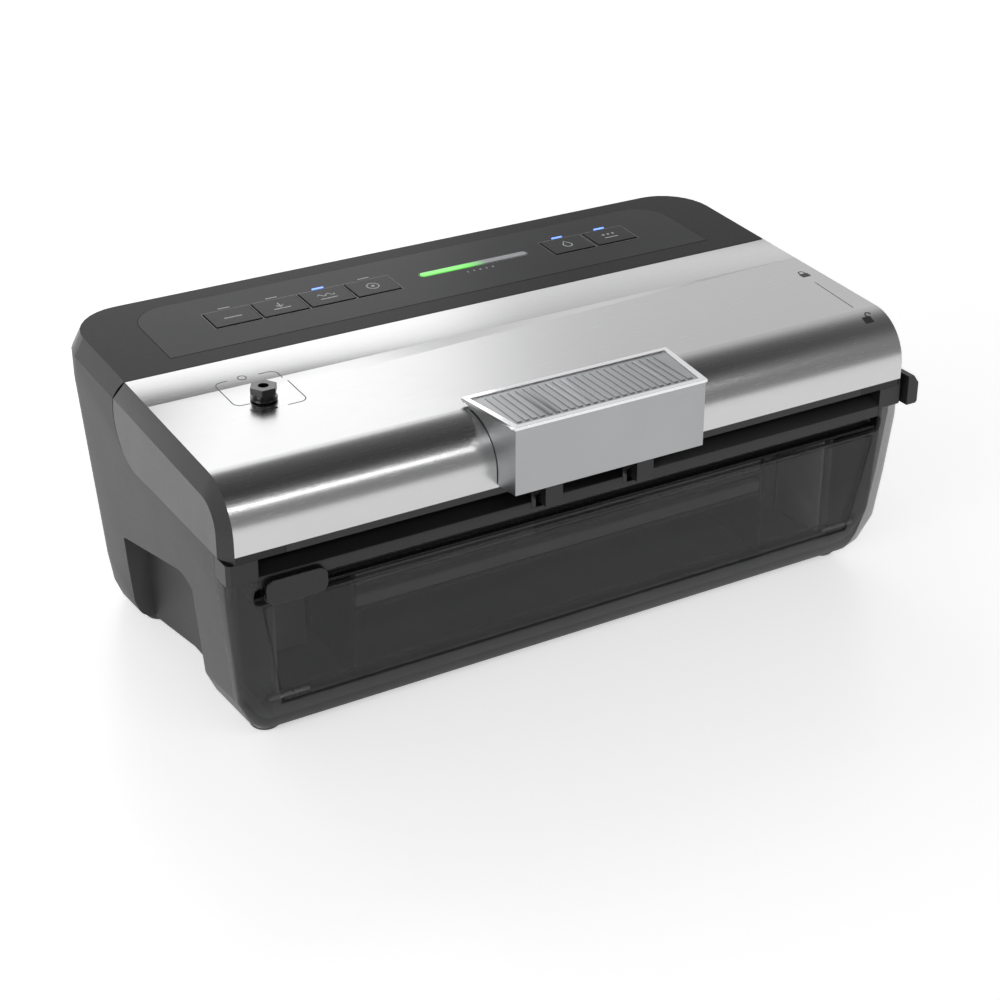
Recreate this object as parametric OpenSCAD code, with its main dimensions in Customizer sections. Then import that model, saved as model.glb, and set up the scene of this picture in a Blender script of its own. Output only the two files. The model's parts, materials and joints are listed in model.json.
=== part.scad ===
// Countertop vacuum sealer: hinged steel lid with a latch handle, rear control housing,
// drip tray, bag cutter and a roll store behind a drop-down door.
// X is to the right, Y to the back, Z up. The object stands on Z = 0.

/* [Overall size] */
// Width over the lid's end caps
body_w = 400; // [396:1:404]
// Front face of the lid, in front of the origin
front_y = 100; // [100:0.5:101]
// Back face of the rear housing, behind the origin
back_y = 115; // [114:0.5:116]
// Radius of the rear corners seen from above
rear_corner_r = 28; // [24:1:30]
// Wall of the moulded housings
wall = 2.6; // [2.2:0.1:3]

/* [Lid] */
// Radius of the roll along the lid's front
roll_r = 26; // [25.5:0.1:26.5]
// Height of the roll's axis
roll_z = 121.7; // [121.5:0.1:122]
// Slope of the lid's top, down towards the front
slope = 2.9; // [2.7:0.1:3]
// Underside of the lid
lid_bottom = 109.6; // [109.5:0.1:109.8]
// Lower edge of the steel skin at the front
skin_bottom = 113.9; // [113:0.1:115]
// Thickness of the steel skin
skin_t = 0.8; // [0.6:0.1:1]
// Depth of the bevel on the end caps and on the rear housing
bevel = 11.5; // [10:0.5:12]
// Width of that bevel, seen from the front
bevel_w = 4; // [3:0.5:5]
// Radius of the lid's rear edge about its hinge
lid_rear_r = 23.8; // [23.6:0.1:23.8]

/* [Latch handle] */
// Width of the handle along its rear edge
handle_rear_w = 121; // [119:1:122]
// Width of the handle along its front edge
handle_front_w = 111.4; // [110:0.2:112]
// Depth of the handle's top
handle_d = 43.5; // [43:0.5:44]
// Height of the handle's front face
handle_h = 35; // [34:0.5:35.5]
// Number of ribs on the pad
pad_ribs = 24; // [16:1:28]

/* [Controls] */
// Distance between neighbouring buttons
button_pitch = 27.7; // [27.4:0.1:28.2]
// Size of one button along X
button_w = 26; // [24:0.5:26]
// Size of one button along Y
button_d = 18.4; // [16:0.2:19]
// Travel of a button
button_travel = 1; // [0.6:0.1:1.2]

/* [Front] */
// Half width of the roll door at its top
door_top_x = 182; // [178:1:183]
// Half width of the roll door at its bottom
door_low_x = 173; // [168:1:176]
// Upper edge of the roll door
door_top = 82; // [80:0.5:82]
// Height of the roll door's hinge axis
door_hinge_z = 26.4; // [26:0.2:27]
// Reach of the drip tray's pull tab past the side of the body
tab_reach = 12; // [10:1:14]

/* [Hidden] */
$fn = 48;
eps = 0.01;
half_w = body_w / 2;
skin_x = half_w - bevel_w;
roll_y = roll_r - front_y;
hinge_z = lid_bottom + lid_rear_r;
hinge_y = 12.2;
// Clearance round the lid's rear edge
gap = 0.4;
// Seam between the base shell and the rear housing
seam = 0.05;
frame_x = half_w - 30;
rim_z = lid_bottom - gap;
front_face_y = 1.5 - front_y;
seam_y = -84;
floor_z = 3.6;
foot_h = floor_z;
foot_r = 8;
hull_fn = 32;

// Height of the lid's top plane at a given Y
function top_z(y) = roll_z + roll_r / cos(slope) + tan(slope) * (y - roll_y);

// Colours one piece and puts it on the plan, whose middle allows for the tray's tab
module piece(tone) color(tone) translate([-tab_reach / 2, 0, 0]) children();

// Extrudes a side view, drawn as [Y, Z], from x0 to x1
module along_x(x0, x1) {
    translate([x0, 0, 0]) rotate([90, 0, 90]) linear_extrude(x1 - x0) children();
}

// Works on the sloping top plane: Z = 0 there is the surface, Y is measured from the roll's axis
module on_top() {
    translate([0, roll_y, top_z(roll_y)]) rotate([slope, 0, 0]) children();
}

module box(x0, x1, y0, y1, z0, z1) {
    translate([x0, y0, z0]) cube([x1 - x0, y1 - y0, z1 - z0]);
}

// Rounded rectangle made of exact pieces, for plates that carry holes
module plate2d(w, d, r) {
    square([w - 2 * r, d], center = true);
    square([w, d - 2 * r], center = true);
    for (x = [r - w / 2, w / 2 - r], y = [r - d / 2, d / 2 - r]) translate([x, y]) circle(r);
}

// Cylinder along X
module bar(x0, x1, y, z, r) {
    translate([x0, y, z]) rotate([0, 90, 0]) cylinder(h = x1 - x0, r = r);
}

module mirrored() {
    children();
    mirror([1, 0, 0]) children();
}

// ---------- outer body ----------

// Plan of the body: tight corners at the front, wide ones at the back
module body_plan(hw, y0, y1, rear_hw) {
    front_r = 6;
    hull() for (side = [-1, 1]) {
        translate([side * (hw - front_r), y0 + front_r]) circle(front_r, $fn = hull_fn);
        translate([side * (rear_hw - rear_corner_r), y1 - rear_corner_r])
            circle(rear_corner_r, $fn = hull_fn);
    }
}

// The body's outside, drawn in by a distance: it narrows downwards and rounds under.
// Each level holds the height, then how far the sides draw in at the front and at the
// rear, the front face and the back face
module body_form(inset) {
    levels = [
        [floor_z, 19, 14, 17.5, 16], [7, 16.5, 9, 12.7, 14], [13, 12, 7, 8.8, 11.5],
        [28, 5.4, 5.8, 5.3, 7.7], [55, 3.4, 4.6, 2.4, 5.4], [90, 0.4, 2.3, 0.6, 3.2],
        [130, 0, 0, 0, 0], [160, 0, 0, 0, 0]
    ];
    hull() for (v = levels) {
        translate([0, 0, v[0] + inset]) linear_extrude(eps)
            body_plan(half_w - v[1] - inset, front_face_y + v[3] + inset, back_y - v[4] - inset,
                      half_w - v[2] - inset);
    }
}

// Recess between the front and the rear leg, on both sides
module leg_recess(grow) {
    deep = 23;
    mirrored() translate([-half_w, 0, 0]) intersection() {
        translate([0, 0, -eps]) linear_extrude(90)
            polygon([[-5, -50 - grow], [deep + grow, -45 - grow], [deep + grow, 8 + grow],
                     [deep - 6 + grow, 48 + grow], [-5, 50 + grow]]);
        along_x(-6, deep + 6) hull() {
            translate([-62 - grow, 0]) square([114 + 2 * grow, 1]);
            translate([-36, 50]) circle(26 + grow, $fn = hull_fn);
            translate([44, 48]) circle(8 + grow, $fn = hull_fn);
        }
    }
}

// Side view of the base shell: open to the lid in front, up to the bevel behind it
module shell_side() {
    polygon([[seam_y, 0], [seam_y, rim_z], [hinge_y, rim_z], [hinge_y, top_z(hinge_y) - bevel / cos(slope)],
             [back_y + 1, top_z(back_y + 1) - bevel / cos(slope)], [back_y + 1, 0]]);
}

// Thick part behind the lid's rear edge, between two heights, before the edge's room is cut
module hinge_wall(z0, z1) {
    along_x(-half_w, half_w) intersection() {
        translate([hinge_y, hinge_z]) circle(lid_rear_r + gap + wall, $fn = 96);
        translate([hinge_y - 4, z0]) square([60, z1 - z0]);
    }
}

// Room for the lid's rear edge
module edge_room() {
    along_x(-half_w - 1, half_w + 1) {
        translate([hinge_y, hinge_z]) circle(lid_rear_r + gap, $fn = 96);
        translate([hinge_y - 40, rim_z]) square([40, 60]);
    }
}

foot_spots = [[173.5, -71], [177.5, 55]];

module at_feet() {
    for (side = [-1, 1], p = foot_spots) translate([side * p[0], p[1], 0]) children();
}

module base_shell() piece("#3b3b3c") difference() {
    union() {
        difference() {
            intersection() {
                body_form(0);
                along_x(-half_w - 1, half_w + 1) shell_side();
            }
            difference() {
                body_form(wall);
                leg_recess(wall);
            }
            leg_recess(0);
        }
        // bulkhead between the roll store and the works
        box(-174, 174, -13, -13 + wall, floor_z + wall - eps, deck_z - 3);
        intersection() {
            body_form(0.6);
            hinge_wall(0, top_z(hinge_y) - bevel);
        }
    }
    edge_room();
    // access opening in the floor
    box(-132, 132, 6, 86, 0, floor_z + wall + 1);
    screw_spots() cylinder(h = 12, r = 1.8);
    // way out for the drip tray, on the right
    box(half_w - 12, half_w + 2, tray_y0 - 1.6, tray_y1 + 1.6, 96.4, 104);
    // hole for the cord gland
    translate([150, back_y - 12, 30]) rotate([-90, 0, 0]) cylinder(h = 20, r = 7.5);
    at_feet() translate([0, 0, -eps]) cylinder(h = foot_h + 1 + eps, r = foot_r + 0.2);
}

// Solid form of the rear housing's bevelled top
module cap_form(inset) {
    rear = back_y - roll_y;
    on_top() hull() {
        translate([0, 0, -bevel - 1]) linear_extrude(1) translate([0, -inset])
            body_plan(half_w - inset, 60, rear, half_w - inset);
        translate([0, 0, -eps - inset]) linear_extrude(eps) translate([0, -inset])
            body_plan(skin_x - inset, 60, rear - bevel_w, skin_x - inset);
    }
}

// Middle of the row of buttons and of the panel, on the top plane
row_y = 70.6 - roll_y;
panel_w = 332;
panel_y0 = 40 - roll_y;
panel_y1 = 100 - roll_y;
left_row_x = -118;
right_row_x = 90;
button_x = [for (i = [0:3]) left_row_x + i * button_pitch, right_row_x, right_row_x + button_pitch + 1];
bar_x0 = -5;
bar_x1 = 63;
board_top = -8.6;
switch_h = 1.4;
stem_z = board_top + switch_h + button_travel;

module panel_plan(shrink) {
    r = 20;
    hull() {
        for (side = [-1, 1]) translate([side * (panel_w / 2 - r), panel_y1 - r])
            circle(r - shrink, $fn = hull_fn);
        translate([shrink - panel_w / 2, panel_y0 + shrink]) square([panel_w - 2 * shrink, 1]);
    }
}

module button_plan(i, grow) {
    translate([button_x[i], row_y]) square([button_w + 2 * grow, button_d + 2 * grow], center = true);
}

module housing_openings() {
    for (i = [0:5]) button_plan(i, 0.4);
    translate([(bar_x0 + bar_x1) / 2, row_y + 1]) plate2d(bar_x1 - bar_x0 + 0.4, 4.6, 2.2);
}

module top_housing() piece("#333334") difference() {
    union() {
        difference() {
            cap_form(0);
            cap_form(wall);
        }
        intersection() {
            cap_form(0.6);
            hinge_wall(top_z(hinge_y) - bevel - 1, top_z(hinge_y) + 4);
        }
        // posts that carry the control board
        on_top() for (x = [-136.4, 137.4], y = [row_y - 14, row_y + 12]) translate([x, y, board_top])
            cylinder(h = -board_top - 1.7, r = 2.4);
    }
    on_top() translate([-half_w - 1, 0, -bevel - 5]) cube([body_w + 2, 400, 5 + seam]);
    edge_room();
    box(-half_w - 1, half_w + 1, -60, hinge_y, 100, 200);
    on_top() translate([0, 0, -1]) linear_extrude(2) panel_plan(0);
    on_top() translate([0, 0, -8]) linear_extrude(8) housing_openings();
}

module control_panel() piece("#1c1d20") on_top() difference() {
    translate([0, 0, -1]) linear_extrude(1.1) panel_plan(0.2);
    translate([0, 0, -2]) linear_extrude(4) housing_openings();
    translate([0, 0, -2]) linear_extrude(4) led_plan(0.1);
}

module led_plan(grow) {
    for (i = [0:5]) translate([button_x[i], row_y + button_d / 2 + 2.4])
        square([7 + grow, 1.2 + grow], center = true);
}

module progress_bar() piece("#39c24a") on_top() {
    translate([(bar_x0 + bar_x1) / 2, row_y + 1, -1.5]) linear_extrude(1.9) plate2d(bar_x1 - bar_x0, 4.2, 2);
    // light guides down to the board
    for (x = [bar_x0 + 6, bar_x1 - 10]) translate([x, row_y - 0.4, board_top]) cube([4, 2.8, 7.2]);
}

module button_leds() piece("#4a63d8") on_top() translate([0, 0, -1]) linear_extrude(1.2) led_plan(0);

module button(i) {
    piece("#202124") on_top() {
        translate([0, 0, -2.4]) linear_extrude(3) button_plan(i, 0);
        translate([button_x[i] - 2, row_y - 2, stem_z]) cube([4, 4, -2.3 - stem_z]);
    }
}

module button_seal() button(0);
module button_vacuum() button(1);
module button_gentle() button(2);
module button_accessory() button(3);
module button_moist() button(4);
module button_mode() button(5);

module control_board() piece("#1e5b34") on_top() {
    translate([-140, row_y - 18, board_top - 1.6]) cube([281, 34, 1.6]);
    for (i = [0:5]) translate([button_x[i] - 3, row_y - 3, board_top - eps]) cube([6, 6, switch_h]);
}

// ---------- deck, gaskets and tray ----------

deck_z = 106;
deck_x = half_w - wall - 2;
tray_y0 = -71.5;
tray_y1 = -46.5;
strip_y = -80.2;
ledge_y1 = -84.2;

// Ear that holds one end of the lid's hinge
module hinge_ear() {
    bar(176, 182, hinge_y, hinge_z, 6);
    along_x(176, 182) polygon([[hinge_y, hinge_z], [hinge_y - 15, deck_z - 1], [hinge_y - 4.2, deck_z - 1],
                               [hinge_y - 4.2, deck_z + 4], [hinge_y + 2, hinge_z - 20]]);
}

// Room in the lid for the ear and the spring, over the lid's whole swing
module ear_room() {
    mirrored() {
        bar(175, 190, hinge_y, hinge_z, 7);
        along_x(175, 183) translate([hinge_y, hinge_z])
            polygon([[0, 0], for (a = [238:20:358]) 60 * [cos(a), sin(a)]]);
    }
}

module deck() piece("#262626") difference() {
    union() {
        box(-deck_x, deck_x, ledge_y1, hinge_y, deck_z - 3, deck_z);
        box(-158, deck_x, tray_y0 - 1.5, tray_y1 + 1.5, 95.5, deck_z);
        mirrored() hinge_ear();
    }
    bar(-half_w, half_w, hinge_y, hinge_z, 3.05);
    // tray's slide-way and the opening over it
    box(-156, half_w + 1, tray_y0 - 0.5, tray_y1 + 0.5, 97, 103.4);
    box(-148, 148, tray_y0 + 2.5, tray_y1 - 2.5, 100, deck_z + 1);
}

// Sloping ledge in front of the deck, with an upright block at each end
module bag_ledge() piece("#232324") {
    difference() {
        along_x(-184, 184)
            polygon([[front_face_y + 0.4, 93.5], [front_face_y + 0.4, 99.5], [-88, deck_z],
                     [ledge_y1, deck_z], [ledge_y1, 93.5]]);
        mirrored() box(catch_x0 - 0.1, catch_x1 + 0.1, -110, catch_y1 + 0.1, catch_floor, 120);
    }
    mirrored() difference() {
        along_x(184, half_w - 0.2)
            polygon([[front_face_y, 98], [front_face_y, rim_z], [ledge_y1, rim_z], [ledge_y1, 98]]);
        translate([half_w, front_face_y, 90]) rotate([0, 0, 45]) cube([3, 3, 50], center = true);
    }
}

module ring(w, d, band, r, h) {
    linear_extrude(h) difference() {
        plate2d(w, d, r);
        plate2d(w - 2 * band, d - 2 * band, r - band);
    }
}

gasket_y = (tray_y0 + tray_y1) / 2;

module lower_gasket() piece("#4a4a4a") translate([0, gasket_y, deck_z]) ring(316, 32, 5, 8, 1.7);

module heating_strip() piece("#b08a5a") translate([0, strip_y, deck_z]) linear_extrude(0.5)
    square([318, 6.6], center = true);

module drip_tray() piece("#2a2a2b") {
    difference() {
        box(-154, half_w - 2, tray_y0, tray_y1, 97.4, 103);
        box(-152, half_w - 44, tray_y0 + 2, tray_y1 - 2, 98.5, 104);
    }
    box(half_w - 2 - eps, half_w + 0.9 + eps, tray_y0 + 0.2, tray_y1 - 2, 97.4, 103);
    // pull tab outside the body
    intersection() {
        through_front(-101.5, tray_y1 - 2)
            polygon([[half_w + 0.9, 97.4], [half_w + 7, 97.4], [half_w + tab_reach, 102.2],
                     [half_w + 9, 108], [half_w + 4.5, 114.3], [half_w + 0.9, 114.3]]);
        linear_extrude(120)
            polygon([[half_w + 0.9, tray_y1 - 2], [half_w + tab_reach, -78], [half_w + tab_reach, -97],
                     [half_w + 8, -101.5], [half_w + 0.9, -101.5]]);
    }
}

// ---------- front ----------

door_axis_y = front_face_y + 9;
barrel_r = 3;

// Outline of the door's opening, seen from the front as [X, Z]
module door_outline(grow) {
    r = 5;
    low = door_hinge_z - barrel_r;
    hull() {
        for (side = [-1, 1]) {
            translate([side * (door_low_x - r), low + r]) circle(r + grow, $fn = hull_fn);
            translate([side * (door_top_x - 1), door_top - 1]) circle(1 + grow, $fn = hull_fn);
        }
    }
}

module through_front(y0, y1) {
    translate([0, y1, 0]) rotate([90, 0, 0]) linear_extrude(y1 - y0) children();
}

module front_frame() piece("#2b2b2d") difference() {
    union() {
        front_wall();
        // bearings for the door's pins
        mirrored() intersection() {
            body_form(1);
            box(door_low_x + 1.5, door_low_x + 8, -110, -85.5, door_hinge_z - 5, door_hinge_z + 5);
        }
    }
    through_front(-120, -85.5) door_outline(0.4);
    mirrored() bar(door_low_x - 2, door_low_x + 6.4, door_axis_y, door_hinge_z, 1.53);
    // room for the door's lower edge as it swings
    bar(-door_low_x - 0.4, door_low_x + 0.4, door_axis_y, door_hinge_z, 4.4);
    at_feet() translate([0, 0, -eps]) cylinder(h = foot_h + 1 + eps, r = foot_r + 0.2);
}

module front_wall() difference() {
    intersection() {
        body_form(0);
        box(-half_w - 1, half_w + 1, -110, seam_y, 0, 98);
    }
    intersection() {
        body_form(wall);
        box(-half_w, half_w, -100, seam_y + 1, 0, 200);
    }
    through_front(-120, -80) door_outline(0.4);
    // groove for the cutter, with round ends
    through_front(-120, -80) translate([0, 88.5]) plate2d(374, 9.4, 3);
    box(-184.2, 184.2, -110, -80, 93.5, 120);
}

// Door leaf: follows the body's front, its lower edge is the hinge barrel
module roll_door() piece("#38383a") {
    difference() {
        union() {
            difference() {
                intersection() {
                    body_form(0);
                    through_front(-120, -80) door_outline(0);
                    box(-half_w, half_w, -120, -80, door_hinge_z - 1, 200);
                }
                body_form(wall - 0.2);
            }
            bar(-door_low_x + 3, door_low_x - 3, door_axis_y, door_hinge_z, barrel_r);
        }
        mirrored() bar(door_low_x - 16, door_low_x + 1, door_axis_y, door_hinge_z, 1.55);
    }
    // finger lip along the top
    box(-30, 30, front_face_y + 3, front_face_y + 8, door_top - 4, door_top - 1.5);
}

module door_pins() piece("#8f9296") mirrored()
    bar(door_low_x - 15.5, door_low_x + 6, door_axis_y, door_hinge_z, 1.48);

// Compartment behind the door: open front, two rails along the back and a rounded trough
module roll_tub() piece("#1f1f20") difference() {
    box(-172, 172, -77.5, -15, floor_z + wall, 92);
    box(-169.5, 169.5, -82, -18, 34, 90);
    hull() {
        bar(-169.5, 169.5, -46, 38, 27);
        bar(-169.5, 169.5, -60, 40, 25);
    }
    box(-169.5, 169.5, -90, -60, 16, 90);
    mirrored() box(80, 100, -40, -10, 84, 96);
}

rail_z = 88.5;

module cutter_rail() piece("#191919") difference() {
    box(-186, 186, -94, -86.4, rail_z - 4.4, rail_z + 4.4);
    box(-187, 187, -95, -90, rail_z - 2.6, rail_z + 2.6);
}

slider_x = -166;

module cutter_slider() piece("#151516") translate([slider_x, 0, 0]) difference() {
    union() {
        box(-15, 15, -94.4, -90.3, rail_z - 2.3, rail_z + 2.3);
        translate([0, -94.3, rail_z]) rotate([90, 0, 0]) linear_extrude(4.6) plate2d(32, 8.2, 3.9);
    }
    box(-0.4, 0.4, -96.5, -90, rail_z - 6, rail_z + 3);
}

// Grip in front of the ledge
module cutter_grip() piece("#151516") translate([slider_x, -98.9, rail_z + 2.7]) rotate([90, 0, 0])
    linear_extrude(2.8) plate2d(32, 13.6, 5);

module cutter_blade() piece("#c9ccd0") translate([slider_x, 0, 0])
    box(-0.3, 0.3, -96.3, -90.6, rail_z - 2.1, rail_z + 2.6);

// ---------- lid ----------

// Side view of the lid, drawn in by a distance except at the bottom
module lid_side(inset) {
    intersection() {
        union() {
            intersection() {
                translate([roll_y, roll_z]) circle(roll_r - inset, $fn = 96);
                translate([-front_y - 1, roll_z - 1]) square([60, 40]);
            }
            translate([hinge_y, hinge_z]) circle(lid_rear_r - min(inset, gap), $fn = 96);
            polygon([[inset - front_y, lid_bottom], [hinge_y, lid_bottom], [hinge_y, top_z(hinge_y)],
                     [roll_y - roll_r * sin(slope), top_z(roll_y - roll_r * sin(slope)) - eps],
                     [roll_y, roll_z], [inset - front_y, roll_z]]);
        }
        polygon([[-front_y - 1, 0], [-front_y - 1, top_z(-front_y - 1) - inset / cos(slope)],
                 [60, top_z(60) - inset / cos(slope)], [60, 0]]);
    }
}

// Where the skin's rear edge is folded under
fold_y = hinge_y + 11;
fold_z = hinge_z + 17;

// Side view of what lies under the skin
module under_skin(inset) {
    difference() {
        lid_side(inset);
        translate([fold_y - 0.1, fold_z - 0.1]) square([60, 60]);
    }
}

module lid_skin() piece("#c4c6c8") difference() {
    along_x(-skin_x, skin_x) difference() {
        lid_side(0);
        intersection() {
            lid_side(skin_t);
            translate([-front_y, 0]) square([front_y + fold_y, 200]);
        }
        translate([-front_y - 1, 0]) square([front_y + 60, skin_bottom]);
        translate([hinge_y, 0]) square([60, fold_z]);
    }
    port_hole(6.2);
    handle_cut();
}

port_x = -143;
port_y = -22;

module port_hole(r) {
    translate([port_x, port_y, 120]) cylinder(h = 60, r = r);
}

// Slots in the lid's top for the handle's hinge lugs
module handle_cut() {
    mirrored() box(32, 42, handle_axis_y - 1.7, handle_axis_y + 1.7, 130, 160);
}

// Moulded frame under the skin: walls, a lower plate, and lugs for the handle
module lid_frame() piece("#2a2a2b") difference() {
    union() {
        difference() {
            along_x(-frame_x + 0.2, frame_x - 0.2) under_skin(skin_t);
            along_x(-frame_x + 4, frame_x - 4) intersection() {
                lid_side(skin_t + 3);
                translate([-front_y + 4, lid_bottom + 4]) square([front_y + hinge_y + 10, 60]);
            }
        }
        mirrored() handle_lug();
        translate([port_x, port_y, lid_bottom]) cylinder(h = 30, r = 12);
    }
    // upper half of the vacuum channel, and the seats of gasket and press bar
    translate([0, gasket_y, lid_bottom - eps]) linear_extrude(3) plate2d(300, 19, 8);
    translate([0, gasket_y, lid_bottom - eps]) ring(317, 33, 6, 8.5, 1.5);
    translate([0, strip_y, lid_bottom - eps]) linear_extrude(2 + eps) square([320, 8], center = true);
    port_hole(6);
    translate([port_x, port_y, 100]) cylinder(h = 60, r = 3);
    bar(-60, 60, handle_axis_y, handle_axis_z, handle_pin_r + 0.05);
    bar(-half_w, half_w, hinge_y, hinge_z, 3.05);
}

// Right-hand end cap of the lid; the left one is its mirror image
module lid_end() difference() {
    union() {
        hull() {
            along_x(skin_x, skin_x + eps) lid_side(0);
            along_x(half_w - eps, half_w) lid_side(bevel);
        }
        along_x(frame_x, skin_x) under_skin(skin_t + 0.05);
    }
    along_x(frame_x - 1, skin_x - 3) intersection() {
        lid_side(skin_t + 3);
        translate([-front_y + 4, lid_bottom + 4]) square([front_y + hinge_y - 14, 60]);
    }
    bar(0, half_w - 8, hinge_y, hinge_z, 3.05);
    ear_room();
}

module lid_end_left() piece("#2f3032") mirror([1, 0, 0]) lid_end();
module lid_end_right() piece("#2f3032") lid_end();

module lid_pins() piece("#8f9296") mirrored() bar(150, half_w - 8.2, hinge_y, hinge_z, 3);

module press_bar() piece("#7d2f28") translate([0, strip_y, lid_bottom - 2.4]) linear_extrude(4.4)
    square([318, 6.6], center = true);

module upper_gasket() piece("#4a4a4a") translate([0, gasket_y, lid_bottom - 1.6]) ring(316, 32, 5, 8, 3);

module port_valve() piece("#1d1d1e") translate([port_x, port_y, 0]) difference() {
    translate([0, 0, lid_bottom + 30]) cylinder(h = 3, r = 8);
    translate([0, 0, 100]) cylinder(h = 60, r = 3);
}

knob_z = top_z(port_y) + 0.5;

// Nozzle: a hexagonal collar on a round neck, open through the middle
module port_knob() piece("#161616") translate([port_x, port_y, 0]) difference() {
    union() {
        translate([0, 0, lid_bottom + 33.4]) cylinder(h = knob_z - lid_bottom - 33, r = 5.2);
        translate([0, 0, knob_z]) cylinder(h = 1.4, r = 6.8);
        translate([0, 0, knob_z + 1.3]) cylinder(h = 2.4, r = 5.6);
        translate([0, 0, knob_z + 3.6]) cylinder(h = 3.4, r = 7.2, $fn = 6);
    }
    translate([0, 0, 100]) cylinder(h = 100, r = 2.6);
}

module port_seal() piece("#3a3a3a") translate([port_x, port_y, lid_bottom + 33])
    rotate_extrude() translate([7, 0.9]) circle(0.9);

// ---------- latch handle ----------

handle_y1 = -71.5;
handle_y0 = handle_y1 - handle_d;
handle_top = 151;
handle_axis_y = handle_y1 - 2.2;
handle_axis_z = handle_top - 1.8;
handle_pin_r = 0.8;
knuckle_r = 1.35;

module handle_lug() {
    bar(33, 41, handle_axis_y, handle_axis_z, knuckle_r);
    box(33, 41, handle_axis_y - knuckle_r, handle_axis_y + knuckle_r, 140, handle_axis_z);
}

module handle_plan(inset) {
    rear = handle_rear_w / 2 - inset;
    front = handle_front_w / 2 - inset;
    polygon([[-rear, handle_y1 - inset], [rear, handle_y1 - inset], [front, handle_y0 + inset],
             [-front, handle_y0 + inset]]);
}

// Clearance around the lid for the handle's concave underside
module over_lid(space) {
    along_x(-80, 80) {
        translate([roll_y, roll_z]) circle(roll_r + space, $fn = 96);
        polygon([[-front_y - space, 90], [0, 90], [0, top_z(0) + space],
                 [roll_y, top_z(roll_y) + space], [roll_y, roll_z], [-front_y - space, roll_z]]);
    }
}

// Room in the handle for the lid's lugs
module lug_room() {
    mirrored() {
        bar(32.4, 41.6, handle_axis_y, handle_axis_z, knuckle_r + 0.3);
        box(32.4, 41.6, handle_axis_y - knuckle_r - 0.3, handle_y1 + 1, 120, handle_axis_z);
    }
}

module latch_handle() piece("#b9bbbd") difference() {
    union() {
        difference() {
            translate([0, 0, handle_top - 0.9 - handle_h]) linear_extrude(handle_h) handle_plan(0.6);
            over_lid(0.7);
            // hollow behind the front face
            box(-50, 50, handle_y0 + 3.4, -70, 100, handle_top - 4);
            // relief that lets the rear edge turn down past the lid's top
            box(-80, 80, handle_axis_y - 3, handle_y1 + 1, 100, handle_axis_z);
        }
        bar(-56, 56, handle_axis_y, handle_axis_z, knuckle_r);
    }
    lug_room();
    bar(-60, 60, handle_axis_y, handle_axis_z, handle_pin_r);
}

module handle_trim() piece("#d8dadc") difference() {
    translate([0, 0, handle_top - 0.9]) linear_extrude(1.6) handle_plan(0);
    translate([0, 0, handle_top - 2]) linear_extrude(4) handle_plan(3);
    lug_room();
    bar(-60, 60, handle_axis_y, handle_axis_z, knuckle_r);
}

module handle_pad() piece("#a2a5a7") {
    rib_w = (handle_front_w - 8) / pad_ribs;
    difference() {
        translate([0, 0, handle_top - 0.9]) linear_extrude(0.9) handle_plan(3.1);
        bar(-60, 60, handle_axis_y, handle_axis_z, knuckle_r + 0.35);
    }
    for (i = [0:pad_ribs - 1])
        translate([4 + rib_w * (i + 0.2) - handle_front_w / 2, handle_y0 + 6, handle_top - eps])
            cube([rib_w * 0.6, handle_d - 12, 0.5]);
}

module handle_pin() piece("#8f9296") bar(-56, 56, handle_axis_y, handle_axis_z, handle_pin_r);

// Two plates hanging inside the handle, each with a lip that reaches back into the ledge
module latch_hooks() piece("#202020") mirrored() along_x(catch_x0 + 4, catch_x1 - 4)
    polygon([[-105, handle_top - 4], [-102, handle_top - 4], [-102, 106.5], [-101.5, 106.5],
             [-95.5, 101.5], [-95.5, 98.5], [-105, 98.5]]);

// Sloping keepers that the hooks' lips go under, set into notches of the ledge
catch_x0 = 18;
catch_x1 = 36;
catch_y1 = front_face_y + 7;
catch_floor = 96;

module latch_catches() piece("#77797c") mirrored() {
    along_x(catch_x0, catch_x1)
        polygon([[front_face_y + 0.4, 105.8], [front_face_y + 0.4, 107.6], [catch_y1, 107.6],
                 [catch_y1, 103.2], [front_face_y + 3.6, 103.2]]);
    for (x = [catch_x0, catch_x1 - 2.5])
        box(x, x + 2.5, front_face_y + 0.4, catch_y1, catch_floor + eps, 107.6);
}

// ---------- works ----------

motor_y = 62;
motor_z = 71;
motor_r = 18;
shaft_r = 2.45;
head_y = 30;
hose_x = -140;
hose_y = 4;
hose_z = 60;
hose_bore = 2.4;
plate_top = floor_z;

// Twin-cylinder block on four posts, with a saddle for its motor and a nozzle for the hose
module vacuum_pump() piece("#4b4d50") {
    difference() {
        union() {
            box(-120, -40, 20, 80, 12, 50);
            box(-72, -30, motor_y - 11, motor_y + 11, 50 - eps, 60);
        }
        bar(-80, -20, motor_y, motor_z, motor_r);
    }
    for (x = [-102, -58]) {
        translate([x, head_y, 50 - eps]) cylinder(h = 22, r = 10);
        translate([x, head_y, 72 - 2 * eps]) cylinder(h = 5, r = 12.5);
    }
    for (x = [-112, -50], y = [28, 72]) translate([x, y, plate_top])
        cylinder(h = 12 - plate_top + eps, r = 4);
    bar(-116, -108, head_y, hose_z, hose_bore);
}

module pump_motor() piece("#9fa2a5") {
    bar(-78, -22, motor_y, motor_z, motor_r);
    bar(-22 - eps, -16, motor_y, motor_z, 6);
    bar(-93, -78 + eps, motor_y, motor_z, shaft_r);
}

module motor_crank() piece("#c9a24a") difference() {
    union() {
        bar(-94, -84, motor_y, motor_z, 9);
        bar(-99, -94 + eps, motor_y, motor_z + 5.2, 2);
    }
    bar(-95, -83, motor_y, motor_z, shaft_r + 0.05);
}

module lid_springs() piece("#8a8d90") mirrored() difference() {
    bar(182, 189, hinge_y, hinge_z, 5.8);
    bar(181, 190, hinge_y, hinge_z, 3.8);
}

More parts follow.
